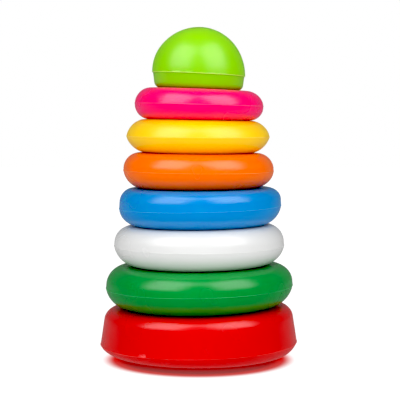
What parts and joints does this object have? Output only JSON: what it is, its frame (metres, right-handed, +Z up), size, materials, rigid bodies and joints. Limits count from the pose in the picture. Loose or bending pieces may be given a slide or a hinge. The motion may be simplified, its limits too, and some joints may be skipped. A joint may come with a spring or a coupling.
{
  "type": "stacking ring toy",
  "caption": "Stacking ring toy: hollow plastic rings in falling sizes that drop over a tapered stem on a round base, with a ball that caps the stem.",
  "frame": {"origin": "centre of the underside of the base, on the surface that the toy stands on", "axes": "+Z up along the stem; every piece is turned about Z, so +X and +Y are any two level directions"},
  "size_m": [0.1334, 0.1334, 0.2196],
  "materials": {
    "red_shell": "satin-gloss blow-moulded polyethylene, red",
    "natural_white_stem": "satin moulded polyethylene, natural white",
    "green_shell": "satin-gloss blow-moulded polyethylene, green",
    "white_shell": "satin-gloss blow-moulded polyethylene, white",
    "blue_shell": "satin-gloss blow-moulded polyethylene, blue",
    "orange_shell": "satin-gloss blow-moulded polyethylene, orange",
    "yellow_shell": "satin-gloss blow-moulded polyethylene, yellow",
    "pink_shell": "satin-gloss blow-moulded polyethylene, pink",
    "lime_shell": "satin-gloss blow-moulded polyethylene, lime green"
  },
  "bodies": {
    "base": {"base": "red_shell", "stem": "natural_white_stem"},
    "green_ring": {"green_ring": "green_shell"},
    "white_ring": {"white_ring": "white_shell"},
    "blue_ring": {"blue_ring": "blue_shell"},
    "orange_ring": {"orange_ring": "orange_shell"},
    "yellow_ring": {"yellow_ring": "yellow_shell"},
    "pink_ring": {"pink_ring": "pink_shell"},
    "ball": {"ball": "lime_shell"}
  },
  "joints": [
    {"name": "green_ring_lift", "type": "slide", "parent": "base", "child": "green_ring", "axis": [0, 0, 1], "range_m": [0, 0.176]},
    {"name": "white_ring_lift", "type": "slide", "parent": "green_ring", "child": "white_ring", "axis": [0, 0, 1], "range_m": [0, 0.148]},
    {"name": "blue_ring_lift", "type": "slide", "parent": "white_ring", "child": "blue_ring", "axis": [0, 0, 1], "range_m": [0, 0.121]},
    {"name": "orange_ring_lift", "type": "slide", "parent": "blue_ring", "child": "orange_ring", "axis": [0, 0, 1], "range_m": [0, 0.096]},
    {"name": "yellow_ring_lift", "type": "slide", "parent": "orange_ring", "child": "yellow_ring", "axis": [0, 0, 1], "range_m": [0, 0.072]},
    {"name": "pink_ring_lift", "type": "slide", "parent": "yellow_ring", "child": "pink_ring", "axis": [0, 0, 1], "range_m": [0, 0.05]},
    {"name": "ball_lift", "type": "slide", "parent": "pink_ring", "child": "ball", "axis": [0, 0, 1], "range_m": [0, 0.029]}
  ]
}
